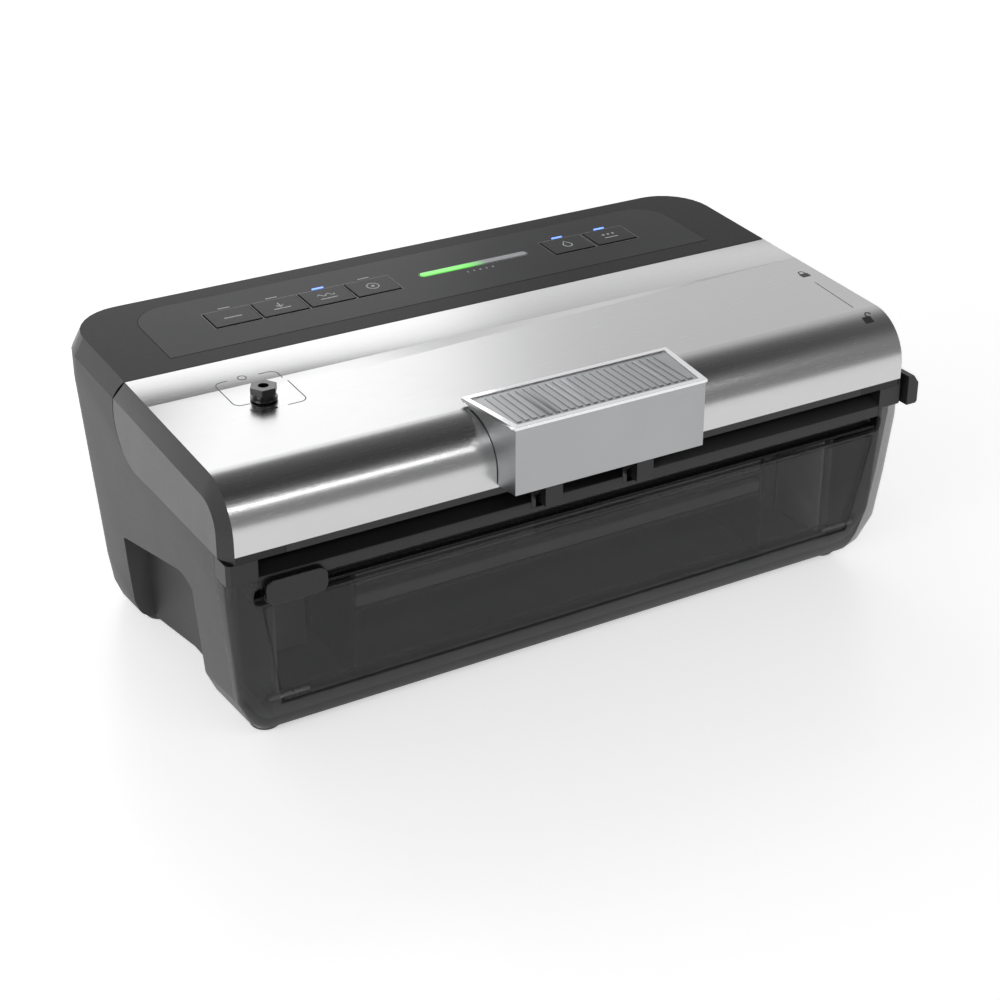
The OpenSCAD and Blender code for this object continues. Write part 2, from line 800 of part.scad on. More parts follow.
// Tube from the pump's nozzle forward and up to the deck
module hose_run(r, over) {
    bar(hose_x, -113.2 + over, head_y, hose_z, r);
    translate([hose_x, head_y, hose_z]) sphere(r);
    translate([hose_x, head_y, hose_z]) rotate([90, 0, 0]) cylinder(h = head_y - hose_y, r = r);
    translate([hose_x, hose_y, hose_z]) sphere(r);
    translate([hose_x, hose_y, hose_z]) cylinder(h = deck_z - 3 - hose_z + over, r = r);
}

module vacuum_hose() piece("#d9d9d6") difference() {
    hose_run(4, 0);
    hose_run(hose_bore, 1);
}

board_z = 14;
board_t = 1.6;

module power_board() piece("#2c6b3f") {
    box(30, 128, 20, 80, board_z, board_z + board_t);
    translate([118, 30, board_z + board_t - eps]) cylinder(h = 24, r = 8);
    box(40, 60, 30, 60, board_z + board_t - eps, 30);
    for (x = [36, 122], y = [26, 74]) translate([x, y, plate_top])
        cylinder(h = board_z - plate_top + eps, r = 3);
}

module transformer() piece("#c7a03c") {
    box(70, 104, 42, 73, board_z + board_t, 50);
    box(76, 98, 36, 78, 22, 44);
}

module lid_switch() piece("#101010") {
    box(160, 172, 0, 8, 88, 102);
    box(164, 168, 2, 6, 102 - eps, deck_z - 3);
}

plate_t = 1.8;

// Cover screwed on under the access opening, with cooling slots
module bottom_plate() piece("#2d2d2e") difference() {
    box(-143, 143, -4, 96, plate_top - plate_t, plate_top);
    for (x = [-20:10:20]) box(x - 1.5, x + 1.5, 30, 62, 0, 20);
    screw_spots() cylinder(h = 12, r = 1.8);
}

module screw_spots() {
    for (x = [-138, 138], y = [1, 91]) translate([x, y, 0]) children();
}

module bottom_screws() piece("#8f9296") screw_spots() {
    translate([0, 0, plate_top - plate_t - 1.2]) cylinder(h = 1.2, r = 3.4);
    translate([0, 0, plate_top - plate_t - eps]) cylinder(h = 7, r = 1.75);
}

module feet() piece("#141414") at_feet() rotate_extrude()
    polygon([[0, 0], [foot_r - 1.2, 0], [foot_r, 1.4], [foot_r, foot_h + 1], [0, foot_h + 1]]);

module cord_gland() piece("#1a1a1a") translate([150, back_y - 9, 30]) rotate([-90, 0, 0]) difference() {
    union() {
        cylinder(h = 8, r = 7.48);
        translate([0, 0, 7.7]) cylinder(h = 1.3, r = 9.5);
    }
    translate([0, 0, -1]) cylinder(h = 20, r = 3.6);
}

base_shell();
top_housing();
control_panel();
progress_bar();
button_leds();
button_seal();
button_vacuum();
button_gentle();
button_accessory();
button_moist();
button_mode();
control_board();
deck();
bag_ledge();
lower_gasket();
heating_strip();
drip_tray();
front_frame();
roll_door();
door_pins();
roll_tub();
cutter_rail();
cutter_slider();
cutter_grip();
cutter_blade();
lid_skin();
lid_frame();
lid_end_left();
lid_end_right();
lid_pins();
lid_springs();
press_bar();
upper_gasket();
port_valve();
port_knob();
port_seal();
latch_handle();
handle_trim();
handle_pad();
handle_pin();
latch_hooks();
latch_catches();
vacuum_pump();
pump_motor();
motor_crank();
vacuum_hose();
power_board();
transformer();
lid_switch();
bottom_plate();
bottom_screws();
feet();
cord_gland();
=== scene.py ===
import json
import math

import bmesh
import bpy
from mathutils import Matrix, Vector

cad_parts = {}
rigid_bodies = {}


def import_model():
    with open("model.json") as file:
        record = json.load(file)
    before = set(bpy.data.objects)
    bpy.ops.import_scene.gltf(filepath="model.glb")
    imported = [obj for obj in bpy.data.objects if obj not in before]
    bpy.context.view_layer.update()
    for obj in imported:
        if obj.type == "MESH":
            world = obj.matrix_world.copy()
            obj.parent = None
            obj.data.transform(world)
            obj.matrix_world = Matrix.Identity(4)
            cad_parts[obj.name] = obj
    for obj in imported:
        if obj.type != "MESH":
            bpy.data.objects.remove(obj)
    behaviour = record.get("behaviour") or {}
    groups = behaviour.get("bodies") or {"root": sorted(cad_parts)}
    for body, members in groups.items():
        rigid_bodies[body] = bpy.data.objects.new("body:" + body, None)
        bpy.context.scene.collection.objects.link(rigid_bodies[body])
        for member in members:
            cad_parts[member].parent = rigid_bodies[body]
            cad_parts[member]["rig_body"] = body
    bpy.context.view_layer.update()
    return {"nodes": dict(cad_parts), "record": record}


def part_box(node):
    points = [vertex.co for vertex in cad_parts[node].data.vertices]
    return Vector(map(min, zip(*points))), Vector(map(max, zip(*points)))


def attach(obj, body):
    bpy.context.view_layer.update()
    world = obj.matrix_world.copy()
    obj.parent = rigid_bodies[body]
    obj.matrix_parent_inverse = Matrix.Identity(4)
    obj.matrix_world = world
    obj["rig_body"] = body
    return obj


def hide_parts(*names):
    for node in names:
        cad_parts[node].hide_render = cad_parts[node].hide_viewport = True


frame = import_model()
NODES = frame["nodes"]
MM = 0.001
SKIN_LOW, SKIN_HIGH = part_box("lid_skin")
MID_X = (SKIN_LOW.x + SKIN_HIGH.x) / 2  # middle of the lid's width
KEYS = ["seal", "vacuum", "gentle", "accessory", "moist", "mode"]
LIT_KEYS = ("gentle", "moist", "mode")


# ---------- materials ----------

def new_material(name):
    material = bpy.data.materials.new(name)
    material.use_nodes = True
    return material, material.node_tree.nodes, material.node_tree.links


def noise(nodes, links, scale, stretch=(1, 1, 1), detail=3.0):
    """Noise in the object's own coordinates, scale in features per metre."""
    coords = nodes.new("ShaderNodeTexCoord")
    mapping = nodes.new("ShaderNodeMapping")
    mapping.inputs["Scale"].default_value = stretch
    texture = nodes.new("ShaderNodeTexNoise")
    texture.inputs["Scale"].default_value = scale
    texture.inputs["Detail"].default_value = detail
    links.new(coords.outputs["Object"], mapping.inputs["Vector"])
    links.new(mapping.outputs["Vector"], texture.inputs["Vector"])
    return texture.outputs["Fac"]


def ramp(nodes, links, source, low, high, start=0.3, end=0.7):
    """Maps a noise to a number between low and high."""
    node = nodes.new("ShaderNodeMapRange")
    node.inputs["From Min"].default_value = start
    node.inputs["From Max"].default_value = end
    node.inputs["To Min"].default_value = low
    node.inputs["To Max"].default_value = high
    links.new(source, node.inputs["Value"])
    return node.outputs["Result"]


def two_tone(nodes, links, source, dark, light, start=0.3, end=0.7):
    node = nodes.new("ShaderNodeValToRGB")
    node.color_ramp.elements[0].position = start
    node.color_ramp.elements[1].position = end
    node.color_ramp.elements[0].color = (*dark, 1)
    node.color_ramp.elements[1].color = (*light, 1)
    links.new(source, node.inputs["Fac"])
    return node.outputs["Color"]


def shade(colour, factor):
    return tuple(min(1.0, c * factor) for c in colour)


COAT_ROUGH = 0.08


def surface(name, colour, rough, metallic=0.0, vary=0.12, patch=30, grain=1500, grain_depth=0.02,
            rough_vary=0.06, stretch=(1, 1, 1), alpha=1.0, coat=0.0, glow=None, glow_strength=0.0,
            specular=0.5, sheen=0.0):
    """Principled surface with cloudy colour and gloss, and a fine grain in its relief (depth in mm)."""
    material, nodes, links = new_material(name)
    shader = nodes["Principled BSDF"]
    shader.inputs["Metallic"].default_value = metallic
    shader.inputs["Alpha"].default_value = alpha
    shader.inputs["Coat Weight"].default_value = coat
    shader.inputs["Coat Roughness"].default_value = COAT_ROUGH
    shader.inputs["Specular IOR Level"].default_value = specular
    shader.inputs["Sheen Weight"].default_value = sheen
    cloud = noise(nodes, links, patch, detail=4.0)
    fine = noise(nodes, links, grain, stretch)
    links.new(two_tone(nodes, links, cloud, shade(colour, 1 - vary), shade(colour, 1 + vary)),
              shader.inputs["Base Color"])
    links.new(ramp(nodes, links, fine, rough - rough_vary, rough + rough_vary), shader.inputs["Roughness"])
    bump = nodes.new("ShaderNodeBump")
    bump.inputs["Strength"].default_value = 1.0
    bump.inputs["Distance"].default_value = grain_depth * MM
    links.new(fine, bump.inputs["Height"])
    links.new(bump.outputs["Normal"], shader.inputs["Normal"])
    if glow:
        shader.inputs["Emission Color"].default_value = (*glow, 1)
        shader.inputs["Emission Strength"].default_value = glow_strength
    return material


# Brushed grain: the noise drawn out along X or along Y
ALONG = (0.012, 1, 1)
ACROSS = (1, 0.012, 1)

STEEL = surface("steel", (0.62, 0.62, 0.625), 0.25, metallic=1.0, vary=0.012, patch=8, grain=5200,
                grain_depth=0.0009, rough_vary=0.025, stretch=ALONG)
# The finish of each of the record's material slots
PAINT = {
    "steel": STEEL,
    "housing": surface("housing", (0.03, 0.03, 0.031), 0.44, grain=2200, grain_depth=0.012, specular=0.35),
    "cover": surface("cover", (0.009, 0.009, 0.01), 0.3, grain=2600, grain_depth=0.004, specular=0.1),
    "panel": surface("panel", (0.018, 0.019, 0.022), 0.24, grain=1200, grain_depth=0.001, rough_vary=0.03,
                     specular=0.12),
    "keys": surface("keys", (0.011, 0.0115, 0.014), 0.26, grain=1600, grain_depth=0.002, rough_vary=0.04,
                    specular=0.14),
    "circuit_board": surface("circuit_board", (0.02, 0.12, 0.05), 0.35, patch=180, vary=0.3, coat=0.3),
    "deck_black": surface("deck_black", (0.009, 0.009, 0.0095), 0.38, grain=2200, grain_depth=0.01),
    "tray_black": surface("tray_black", (0.014, 0.014, 0.0145), 0.4, grain=2200, grain_depth=0.01),
    "rail_black": surface("rail_black", (0.006, 0.006, 0.0065), 0.25, grain=1800, grain_depth=0.003),
    "end_cap": surface("end_cap", (0.09, 0.09, 0.092), 0.38, grain=2400, grain_depth=0.008,
                       specular=0.35),
    "knob_black": surface("knob_black", (0.005, 0.005, 0.0055), 0.22, grain=1800, grain_depth=0.003,
                          coat=0.3),
    "smoke": surface("smoke", (0.012, 0.012, 0.013), 0.16, grain=1500, grain_depth=0.0006,
                     rough_vary=0.04, alpha=0.42, coat=0.3),
    "blade": surface("blade", (0.7, 0.71, 0.72), 0.2, metallic=1.0, vary=0.05, grain=3000,
                     grain_depth=0.004, stretch=ACROSS),
    "pin_steel": surface("pin_steel", (0.5, 0.5, 0.51), 0.3, metallic=1.0, vary=0.08, patch=300,
                         stretch=ACROSS),
    "silver": surface("silver", (0.42, 0.425, 0.43), 0.36, metallic=1.0, vary=0.03, patch=14,
                      grain=3200, grain_depth=0.003, rough_vary=0.05, stretch=ALONG),
    "bright": surface("bright", (0.86, 0.86, 0.87), 0.07, metallic=1.0, vary=0.03, rough_vary=0.03,
                      grain_depth=0.001),
    "pad_silver": surface("pad_silver", (0.4, 0.41, 0.42), 0.34, metallic=0.85, vary=0.05,
                          grain=2800, grain_depth=0.004),
    "pump_grey": surface("pump_grey", (0.12, 0.12, 0.13), 0.45),
    "motor_can": surface("motor_can", (0.45, 0.45, 0.46), 0.3, metallic=1.0, vary=0.08),
    "crank_brass": surface("crank_brass", (0.6, 0.45, 0.2), 0.28, metallic=1.0, vary=0.08),
    "hose": surface("hose", (0.62, 0.62, 0.6), 0.28, alpha=0.7, vary=0.05),
    "winding": surface("winding", (0.45, 0.3, 0.06), 0.4, stretch=(1, 1, 0.1), grain=900,
                       grain_depth=0.05),
    "foam": surface("foam", (0.05, 0.05, 0.05), 0.85, patch=300, grain=1400, grain_depth=0.12,
                    sheen=0.2),
    "silicone": surface("silicone", (0.2, 0.06, 0.05), 0.55, vary=0.08),
    "rubber_black": surface("rubber_black", (0.014, 0.014, 0.014), 0.5, grain=1600,
                            grain_depth=0.03),
    "ptfe": surface("ptfe", (0.35, 0.22, 0.12), 0.4, patch=900, vary=0.2, grain=1800,
                    grain_depth=0.02),
    "indicator_light": surface("indicator_light", (0.1, 0.16, 0.7), 0.3, glow=(0.12, 0.25, 1.0),
                               glow_strength=2.2),
    "progress_light": surface("progress_light", (0.1, 0.5, 0.12), 0.2, glow=(0.1, 0.8, 0.12),
                              glow_strength=0.9),
}
# Finishes of pieces and faces that no slot describes
PRINT_LIGHT = surface("print_light", (0.62, 0.63, 0.65), 0.5, patch=400, grain_depth=0.002)
PRINT_DARK = surface("print_dark", (0.03, 0.03, 0.032), 0.45, patch=400, grain_depth=0.002)
LED_OFF = surface("led_off", (0.24, 0.25, 0.27), 0.3, patch=400, grain_depth=0.002, coat=0.3)
GLOSS_EDGE = surface("gloss_edge", (0.006, 0.006, 0.007), 0.26, grain=1800, grain_depth=0.002,
                     rough_vary=0.03, specular=0.35)
LINER_GREY = surface("liner_grey", (0.42, 0.42, 0.43), 0.5, patch=60, grain_depth=0.001)
TUB_GREY = surface("tub_grey", (0.11, 0.11, 0.112), 0.5, patch=60, grain_depth=0.001)
RAIL_GREY = surface("rail_grey", (0.2, 0.2, 0.205), 0.4, patch=60, grain_depth=0.001)
FRONT_SMOKE = surface("front_smoke", (0.03, 0.03, 0.032), 0.2, grain=1500, grain_depth=0.002,
                      rough_vary=0.04, alpha=0.5, coat=0.2)
# Grey of the thin rings round the keys and the progress bar: a painted highlight standing in for the light
# edges they catch
EDGE_HIGHLIGHT = surface("painted_edge_highlight", (0.16, 0.165, 0.17), 0.3, patch=200, grain_depth=0.002)


def dress(obj, material):
    obj.data.materials.clear()
    obj.data.materials.append(material)


SLOT_OF = {part["node"]: part["material_slot"] for part in frame["record"]["subparts"]}
for node, obj in NODES.items():
    dress(obj, PAINT[SLOT_OF[node]])


# ---------- pieces ----------

def add(name, mesh, body, slot, material=None):
    obj = bpy.data.objects.new(name, mesh)
    bpy.context.scene.collection.objects.link(obj)
    dress(obj, material or PAINT[slot])
    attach(obj, body)
    return obj


SHARP = 32  # degrees between faces from which an edge counts as sharp
WELD = 0.002 * MM
FLAT_WITHIN = 0.6  # degrees


def smooth(mesh, degrees=SHARP):
    for face in mesh.polygons:
        face.use_smooth = True
    mesh.set_sharp_from_angle(angle=math.radians(degrees))


def eased(node, radius):
    """The CAD piece with its edges eased by a radius in mm, as moulded and pressed parts have."""
    mesh = NODES[node].data.copy()
    bm = bmesh.new()
    bm.from_mesh(mesh)
    bmesh.ops.remove_doubles(bm, verts=bm.verts, dist=WELD)
    bmesh.ops.dissolve_limit(bm, angle_limit=math.radians(FLAT_WITHIN), verts=bm.verts,
                             edges=bm.edges)
    bm.to_mesh(mesh)
    bm.free()
    smooth(mesh)
    obj = add(node + "_moulded", mesh, NODES[node]["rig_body"], SLOT_OF[node])
    bevel = obj.modifiers.new("eased edges", "BEVEL")
    bevel.width = radius * MM
    bevel.segments = 2
    bevel.limit_method = "ANGLE"
    bevel.angle_limit = math.radians(SHARP)
    bevel.harden_normals = True
    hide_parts(node)
    return obj


# CAD pieces whose edges are eased, with the radius in mm
EASED = {
    "base_shell": 0.5, "top_housing": 0.6, "front_frame": 0.5, "roll_door": 0.5, "bag_ledge": 0.5,
    "lid_end_left": 0.6, "lid_end_right": 0.6, "latch_handle": 0.5, "handle_trim": 0.3,
    "handle_pad": 0.12, "drip_tray": 0.5, "port_knob": 0.4, "cutter_slider": 0.6, "cutter_grip": 0.6,
    "feet": 0.6,
    "control_panel": 0.15, "lid_skin": 0.2, "deck": 0.4, "roll_tub": 0.5, "latch_hooks": 0.3,
    "cutter_rail": 0.3,
}
KEY_EASE = 0.35
for node, radius in EASED.items():
    eased(node, radius)
for key in KEYS:
    eased("button_" + key, KEY_EASE)


def repaint(name, material, chosen):
    """Gives the faces for which chosen(normal) is true a second material."""
    mesh = bpy.data.objects[name].data
    mesh.materials.append(material)
    for face in mesh.polygons:
        if chosen(face.normal):
            face.material_index = len(mesh.materials) - 1


# The bevels of the lid's ends and of the rear housing are glossier than their flats
FLAT_SIDE = 0.985
BEVEL_FROM = 0.05
for name in ("lid_end_left_moulded", "lid_end_right_moulded"):
    repaint(name, GLOSS_EDGE, lambda normal: abs(normal.x) < FLAT_SIDE)
repaint("top_housing_moulded", GLOSS_EDGE, lambda normal: BEVEL_FROM < normal.z < FLAT_SIDE)


# ---------- printed marks, lights and rings with painted highlights ---

SLOPE = math.tan(math.radians(2.9))
KEY_PROUD = 0.6 * MM
KEY_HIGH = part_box("button_seal")[1]
ROLL_R = 26 * MM
ROLL_Y = SKIN_LOW.y + ROLL_R
PRINT_T = 0.06 * MM
PANEL_PROUD = 0.1 * MM
LED_PROUD = 0.25 * MM
LENS_PROUD = 0.35 * MM
# Width in mm of the rings of painted highlight round the keys and the bar
HIGHLIGHT_RING_W = 0.4


def plane_z(y):
    """Height of the sloping top plane."""
    return KEY_HIGH.z - KEY_PROUD + (y - KEY_HIGH.y) * SLOPE


ROLL_Z = plane_z(ROLL_Y) - ROLL_R


def lid_z(y):
    """Height of the steel: the top plane, then the roll in front of it."""
    if y >= ROLL_Y:
        return plane_z(y)
    return ROLL_Z + math.sqrt(max(0.0, ROLL_R ** 2 - (y - ROLL_Y) ** 2))


def arc(x, y, radius, start, end, steps=10):
    """Points of an arc, angles in degrees."""
    turns = [math.radians(start + (end - start) * i / steps) for i in range(steps + 1)]
    return [(x + radius * math.cos(t), y + radius * math.sin(t)) for t in turns]


def add_stroke(bm, points, width, height_at, thick, closed=False):
    """A raised line of rectangular section along points [(x, y)], all in metres."""
    count = len(points)
    rings = []
    for i, (x, y) in enumerate(points):
        before = points[i - 1] if i or closed else points[i]
        after = points[(i + 1) % count] if i < count - 1 or closed else points[i]
        along = Vector((after[0] - before[0], after[1] - before[1])).normalized()
        side = Vector((-along.y, along.x)) * width / 2
        ring = []
        for sign, lift in ((1, -thick), (-1, -thick), (-1, thick), (1, thick)):
            px, py = x + sign * side.x, y + sign * side.y
            ring.append(bm.verts.new((px, py, height_at(py) + lift)))
        rings.append(ring)
    last = count if closed else count - 1
    for i in range(last):
        a, b = rings[i], rings[(i + 1) % count]
        for k in range(4):
            bm.faces.new((a[k], a[(k + 1) % 4], b[(k + 1) % 4], b[k]))
    if not closed:
        bm.faces.new(rings[0][::-1])
        bm.faces.new(rings[-1])


def add_patch(bm, points, height_at, thick):
    """A raised filled shape with that outline."""
    low_ring = [bm.verts.new((x, y, height_at(y) - thick)) for x, y in points]
    high_ring = [bm.verts.new((x, y, height_at(y) + thick)) for x, y in points]
    bm.faces.new(low_ring[::-1])
    bm.faces.new(high_ring)
    for i in range(len(points)):
        j = (i + 1) % len(points)
        bm.faces.new((low_ring[i], low_ring[j], high_ring[j], high_ring[i]))


def marks(name, body, slot_name, material, height_at, strokes=(), patches=(), thick=PRINT_T):
    """One piece of printed or moulded marks, in mm from the middle of the lid's width."""
    bm = bmesh.new()
    for points, width, closed in strokes:
        line = [(MID_X + x * MM, y * MM) for x, y in points]
        add_stroke(bm, line, width * MM, height_at, thick, closed)
    for points in patches:
        add_patch(bm, [(MID_X + x * MM, y * MM) for x, y in points], height_at, thick)
    bmesh.ops.recalc_face_normals(bm, faces=bm.faces)
    mesh = bpy.data.meshes.new(name)
    bm.to_mesh(mesh)
    bm.free()
    return add(name, mesh, body, slot_name, material)


def rounded_box(x0, x1, y0, y1, r, steps=5):
    return (arc(x1 - r, y1 - r, r, 0, 90, steps) + arc(x0 + r, y1 - r, r, 90, 180, steps)
            + arc(x0 + r, y0 + r, r, 180, 270, steps) + arc(x1 - r, y0 + r, r, 270, 360, steps))


def key_place(key):
    low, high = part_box("button_" + key)
    return (((low.x + high.x) / 2 - MID_X) / MM, (low.y + high.y) / 2 / MM,
            (high.x - low.x) / MM, (high.y - low.y) / MM)


def on_key(y):
    return plane_z(y) + KEY_PROUD


def on_panel(y):
    return plane_z(y) + PANEL_PROUD


def key_sign(key, x, y):
    """Strokes and patches of a button's pictogram about its middle."""
    return {
        "seal": ([([(x - 5, y - 1), (x + 5, y - 1)], 1.0, False)], []),
        "vacuum": ([([(x - 5, y - 3), (x + 5, y - 3)], 0.9, False),
                    ([(x, y + 4), (x, y - 1)], 0.8, False),
                    ([(x - 2, y + 1), (x, y - 1.2), (x + 2, y + 1)], 0.7, False)], []),
        "gentle": ([([(x - 5, y - 3), (x + 5, y - 3)], 0.9, False),
                    ([(x - 5 + i * 0.5, y + 1.4 + 1.2 * math.sin(i * 0.63)) for i in range(21)], 0.7,
                     False)], []),
        "accessory": ([(arc(x, y, 3.4, 0, 345, 24), 0.7, True)], [arc(x, y, 1.1, 0, 324, 9)]),
        "moist": ([([(x, y + 4.4)] + arc(x, y - 0.4, 2.6, 40, -220, 16), 0.7, True)], []),
        "mode": ([([(x - 4.5, y - 2.4), (x + 4.5, y - 2.4)], 0.8, False)],
                 [arc(x + i * 3.2, y + 1.8, 0.9, 0, 330, 11) for i in (-1, 0, 1)]),
    }[key]


# Gap in mm between a key and its ring of painted highlight
KEY_HIGHLIGHT_OFFSET = 0.75
LED_HALF_W = 3.5
LED_HALF_D = 0.6
LED_BEHIND = 2.4
for key in KEYS:
    x, y, w, d = key_place(key)
    marks("sign_" + key, "key_" + key, "keys", PRINT_LIGHT, on_key, *key_sign(key, x, y))
    ring_half_x, ring_half_y = w / 2 + KEY_HIGHLIGHT_OFFSET, d / 2 + KEY_HIGHLIGHT_OFFSET
    edge = rounded_box(x - ring_half_x, x + ring_half_x, y - ring_half_y, y + ring_half_y, 1.2)
    # Thin ring round the key; its grey is a painted highlight of the key's lit edge
    marks("key_rim_" + key, "base", "panel", EDGE_HIGHLIGHT, on_panel, [(edge, HIGHLIGHT_RING_W, True)])
    led_y = y + d / 2 + LED_BEHIND
    shape = rounded_box(x - LED_HALF_W, x + LED_HALF_W, led_y - LED_HALF_D, led_y + LED_HALF_D, 0.5)
    led = marks("led_" + key, "base", "indicator_light",
                PAINT["indicator_light"] if key in LIT_KEYS else LED_OFF, on_panel,
                patches=[shape], thick=LED_PROUD)
    if key == KEYS[0]:
        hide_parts("button_leds")

BAR_LOW, BAR_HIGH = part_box("progress_bar")
bar_x0, bar_x1 = (BAR_LOW.x - MID_X) / MM, (BAR_HIGH.x - MID_X) / MM
bar_y = key_place("seal")[1] + 1
BAR_HALF_D = 2.1
BAR_HIGHLIGHT_OFFSET = 0.7
TICKS = 5
LIT_SHARE = 0.55  # how far the bar is lit, from its left end


def glow_bar():
    """Clear bar, lit green over its left part."""
    material, nodes, links = new_material("progress_glow")
    shader = nodes["Principled BSDF"]
    coords = nodes.new("ShaderNodeTexCoord")
    split_xyz = nodes.new("ShaderNodeSeparateXYZ")
    share = nodes.new("ShaderNodeMapRange")
    share.inputs["From Min"].default_value = BAR_LOW.x
    share.inputs["From Max"].default_value = BAR_HIGH.x
    links.new(coords.outputs["Object"], split_xyz.inputs["Vector"])
    links.new(split_xyz.outputs["X"], share.inputs["Value"])
    for socket, lit, unlit in (("Base Color", (0.12, 0.5, 0.08), (0.42, 0.44, 0.46)),
                               ("Emission Color", (0.12, 0.85, 0.06), (0.0, 0.0, 0.0))):
        colours = nodes.new("ShaderNodeValToRGB")
        colours.color_ramp.elements[0].position = LIT_SHARE - 0.12
        colours.color_ramp.elements[1].position = LIT_SHARE + 0.06
        colours.color_ramp.elements[0].color = (*lit, 1)
        colours.color_ramp.elements[1].color = (*unlit, 1)
        links.new(share.outputs["Result"], colours.inputs["Fac"])
        links.new(colours.outputs["Color"], shader.inputs[socket])
    shader.inputs["Emission Strength"].default_value = 0.8
    shader.inputs["Roughness"].default_value = 0.18
    shader.inputs["Coat Weight"].default_value = 0.4
    return material


bar = marks("progress_lens", "base", "progress_light", glow_bar(), on_panel,
            patches=[rounded_box(bar_x0, bar_x1, bar_y - BAR_HALF_D, bar_y + BAR_HALF_D, 2.0)],
            thick=LENS_PROUD)
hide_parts("progress_bar")
# Thin ring round the bar; its grey is a painted highlight of the frame's light edge
marks("progress_rim", "base", "panel", EDGE_HIGHLIGHT, on_panel,
      [(rounded_box(bar_x0 - BAR_HIGHLIGHT_OFFSET, bar_x1 + BAR_HIGHLIGHT_OFFSET, bar_y - BAR_HALF_D - BAR_HIGHLIGHT_OFFSET,
                    bar_y + BAR_HALF_D + BAR_HIGHLIGHT_OFFSET, 2.7), HIGHLIGHT_RING_W, True)])
tick_places = [bar_x0 + 26 + i * 4 for i in range(TICKS)]
marks("progress_ticks", "base", "panel", PRINT_LIGHT, on_panel,
      [([(x, bar_y - 8.4), (x, bar_y - 6.6)], 0.6, False) for x in tick_places])

PORT_LOW, PORT_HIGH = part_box("port_knob")
port_x = ((PORT_LOW.x + PORT_HIGH.x) / 2 - MID_X) / MM
port_y = (PORT_LOW.y + PORT_HIGH.y) / 2 / MM
left, right, front, back = port_x - 15.5, port_x + 19, port_y - 10.5, port_y + 26
TURN_R = 4
PORT_LINE = 0.5
port_lines = [
    ([(port_x - 8, port_y - 1)] + arc(left + TURN_R, port_y + 3, TURN_R, 270, 180, 6)
     + arc(left + TURN_R, back - TURN_R, TURN_R, 180, 90, 6) + [(port_x - 8, back)], PORT_LINE, False),
    ([(port_x + 9, back)] + arc(right - 5, back - TURN_R, TURN_R, 90, 0, 6)
     + [(right - 1, back - 9)], PORT_LINE, False),
    ([(right, back - 13)] + arc(right - TURN_R, front + TURN_R, TURN_R, 0, -90, 6)
     + [(port_x + 8, front)], PORT_LINE, False),
    ([(port_x - 7, front)] + arc(left + 9, front + TURN_R, TURN_R, 270, 180, 6), PORT_LINE, False),
    (arc(port_x, back, 2.2, 0, 336, 14), PORT_LINE, True),
]
marks("port_marks", "lid", "steel", PRINT_DARK, lid_z, port_lines,
      [rounded_box(port_x - 2.4, port_x + 2.4, front - 1.0, front + 1.0, 0.9)])


def padlock(x, y, turned):
    """Outline of a small lock; its shackle is swung open when turned."""
    shift = 2.6 if turned else 0
    return ([([(x - 1.7 + shift, y + 1.4)] + arc(x + shift, y + 2.6, 1.7, 180, 0, 8)
              + ([] if turned else [(x + 1.7, y + 1.4)]), 0.7, False)],
            [rounded_box(x - 2.8, x + 2.8, y - 2.8, y + 1.4, 0.6)])


lock_x = 186
shut, open_lock = padlock(lock_x, -25, False), padlock(lock_x - 3, -84, True)
marks("lock_marks", "lid", "steel", PRINT_DARK, lid_z,
      shut[0] + open_lock[0] + [([(lock_x - 1, -36), (lock_x - 3, -72)], 0.4, False)],
      shut[1] + open_lock[1])


# ---------- inside the roll store, seen through the smoky front ----------

TUB_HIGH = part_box("roll_tub")[1]
tub_x = (TUB_HIGH.x - MID_X) / MM - 3  # inside of its end walls
STORE_LOW, STORE_TOP = 14, 84
RIB_X = (124, 126.4)
LINER_X = 132
RAIL_END = 123.6
RAIL_HEIGHTS = (70, 57)


def block(name, x0, x1, y0, y1, z0, z1, slot_name, material=None, ease=0.8):
    """A moulded bar with eased edges, in mm from the middle of the lid's width."""
    bm = bmesh.new()
    bmesh.ops.create_cube(bm, size=1)
    for v in bm.verts:
        v.co = Vector((MID_X + (x0 if v.co.x < 0 else x1) * MM, (y0 if v.co.y < 0 else y1) * MM,
                       (z0 if v.co.z < 0 else z1) * MM))
    bmesh.ops.bevel(bm, geom=bm.edges[:], offset=ease * MM, segments=3, profile=0.5, affect="EDGES")
    mesh = bpy.data.meshes.new(name)
    bm.to_mesh(mesh)
    bm.free()
    smooth(mesh, 40)
    return add(name, mesh, "base", slot_name, material)


def at_side(side, x0, x1):
    """The two X values on one side of the middle, the lower one first."""
    return sorted((side * x0, side * x1))


for side, word in ((-1, "left"), (1, "right")):
    block("store_rib_" + word, *at_side(side, *RIB_X), -76, -28, STORE_LOW + 2, STORE_TOP,
          "deck_black")
    block("store_liner_" + word, *at_side(side, LINER_X, tub_x - 0.6), -34, -31, STORE_LOW,
          STORE_TOP, "deck_black", LINER_GREY)
    block("store_side_" + word, *at_side(side, tub_x - 2.2, tub_x - 0.4), -75, -36, STORE_LOW,
          STORE_TOP, "deck_black", LINER_GREY)
for place in RAIL_HEIGHTS:
    block("store_rail_%d" % place, -RAIL_END, RAIL_END, -76, -71, place - 3.2, place + 3.4,
          "deck_black", RAIL_GREY)
    block("store_groove_%d" % place, -RAIL_END, RAIL_END, -76.4, -70.6, place - 5.6, place - 3.1,
          "deck_black", ease=0.4)
dress(bpy.data.objects["roll_tub_moulded"], TUB_GREY)
dress(bpy.data.objects["front_frame_moulded"], FRONT_SMOKE)


# ---------- camera, light and floor ----------

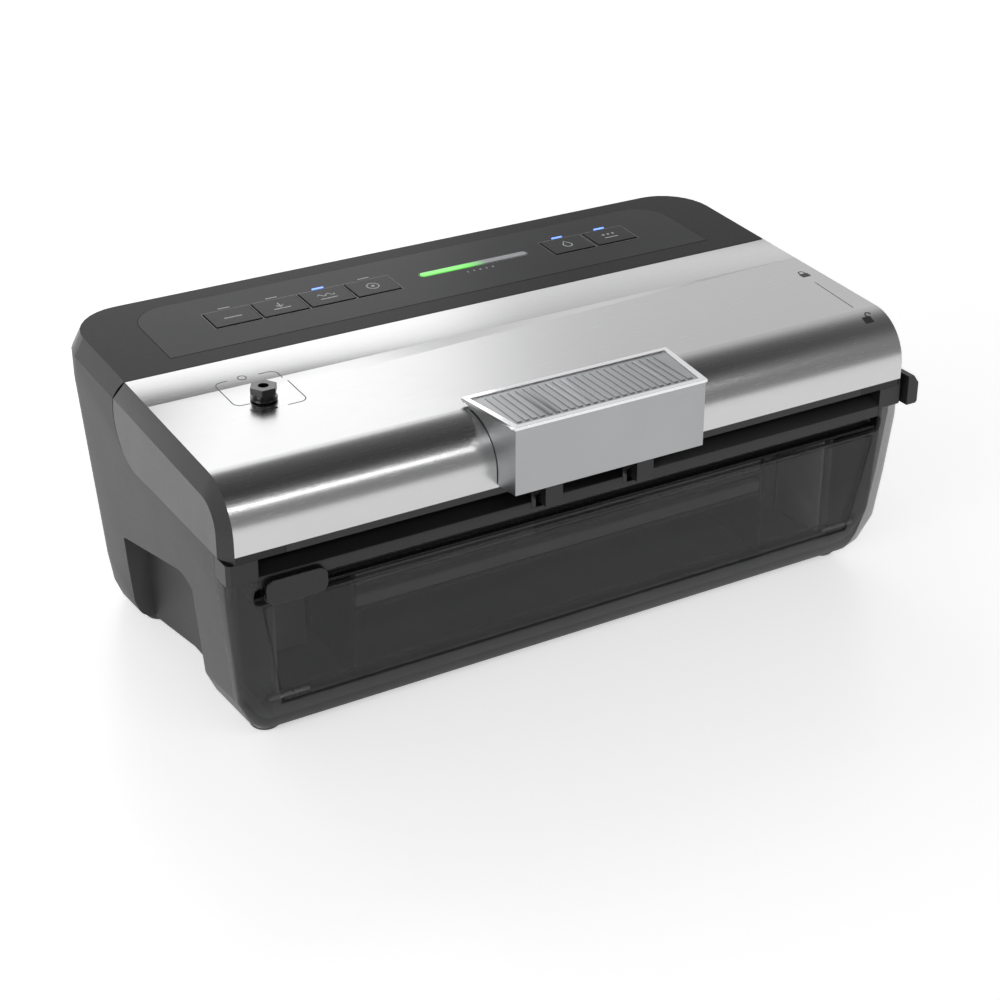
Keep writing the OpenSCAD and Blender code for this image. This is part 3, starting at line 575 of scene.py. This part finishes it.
CAMERA_PLACE = (-0.5253, -0.8859, 0.5856)
LOOK_DOWN = 27.69  # degrees below the horizontal
LOOK_RIGHT = 30.56  # degrees from straight back
CAMERA_LENS = 75.96
camera = bpy.data.objects.new("camera", bpy.data.cameras.new("camera"))
bpy.context.scene.collection.objects.link(camera)
camera.data.sensor_width = 36.0
camera.data.lens = CAMERA_LENS
camera.data.clip_end = 50
camera.location = CAMERA_PLACE
camera.rotation_euler = (math.radians(90 - LOOK_DOWN), 0, math.radians(-LOOK_RIGHT))
bpy.context.scene.camera = camera


def softbox(name, place, target, size_x, size_y, power):
    """Rectangular light of a power in watts, turned to a target."""
    light = bpy.data.lights.new(name, "AREA")
    light.shape = "RECTANGLE"
    light.size = size_x
    light.size_y = size_y
    light.energy = power
    obj = bpy.data.objects.new(name, light)
    bpy.context.scene.collection.objects.link(obj)
    obj.location = place
    obj.rotation_euler = (Vector(target) - Vector(place)).to_track_quat("-Z", "Y").to_euler()


softbox("front strip", (-0.35, -1.7, 1.6), (0, -0.1, 0.12), 3.4, 0.1, 12)
softbox("left fill", (-2.4, -0.6, 0.9), (0, 0, 0.08), 1.6, 1.0, 16)
softbox("back panel", (0.2, 2.6, 1.7), (0, 0, 0.12), 2.6, 1.6, 13)

# Brightness of the studio by height, from the horizon (0) to straight up (1)
SKY = [(0.0, 0.9), (0.2, 0.95), (0.4, 0.8), (0.5, 0.74), (0.66, 0.55), (0.78, 0.14), (1.0, 0.1)]
# The studio is this much of that brightness in front, and all of it behind
FRONT_SHARE = 0.3
TURNOVER = 0.35

world = bpy.data.worlds.new("studio")
bpy.context.scene.world = world
world.use_nodes = True
sky = world.node_tree
direction = sky.nodes.new("ShaderNodeTexCoord")
split = sky.nodes.new("ShaderNodeSeparateXYZ")
bands = sky.nodes.new("ShaderNodeValToRGB")
sky.links.new(direction.outputs["Generated"], split.inputs["Vector"])
sky.links.new(split.outputs["Z"], bands.inputs["Fac"])
depth = sky.nodes.new("ShaderNodeMapRange")
depth.inputs["From Min"].default_value = -TURNOVER
depth.inputs["From Max"].default_value = TURNOVER
depth.inputs["To Min"].default_value = FRONT_SHARE
depth.inputs["To Max"].default_value = 1.0
dimmed = sky.nodes.new("ShaderNodeVectorMath")
dimmed.operation = "SCALE"
sky.links.new(split.outputs["Y"], depth.inputs["Value"])
sky.links.new(bands.outputs["Color"], dimmed.inputs[0])
sky.links.new(depth.outputs["Result"], dimmed.inputs["Scale"])
sky.links.new(dimmed.outputs["Vector"], sky.nodes["Background"].inputs["Color"])
sky.nodes["Background"].inputs["Strength"].default_value = 1.0
while len(bands.color_ramp.elements) < len(SKY):
    bands.color_ramp.elements.new(0.5)
for element, (place, level) in zip(bands.color_ramp.elements, SKY):
    element.position = place
    element.color = (level, level, level, 1)
bpy.context.scene.view_settings.view_transform = "Standard"

FLOOR = 8  # metres each way
FLOOR_GAP = 0.0001
corners = [(-FLOOR, -FLOOR, 0), (FLOOR, -FLOOR, 0), (FLOOR, FLOOR, 0), (-FLOOR, FLOOR, 0)]
floor_mesh = bpy.data.meshes.new("floor")
floor_mesh.from_pydata(corners, [], [(0, 1, 2, 3)])
floor = bpy.data.objects.new("floor", floor_mesh)
bpy.context.scene.collection.objects.link(floor)
dress(floor, surface("floor", (0.88, 0.88, 0.88), 0.3, vary=0.004, patch=0.5, grain_depth=0.0,
                     rough_vary=0.02, specular=0.4, glow=(1, 1, 1), glow_strength=0.55))
floor.location.z = -FLOOR_GAP
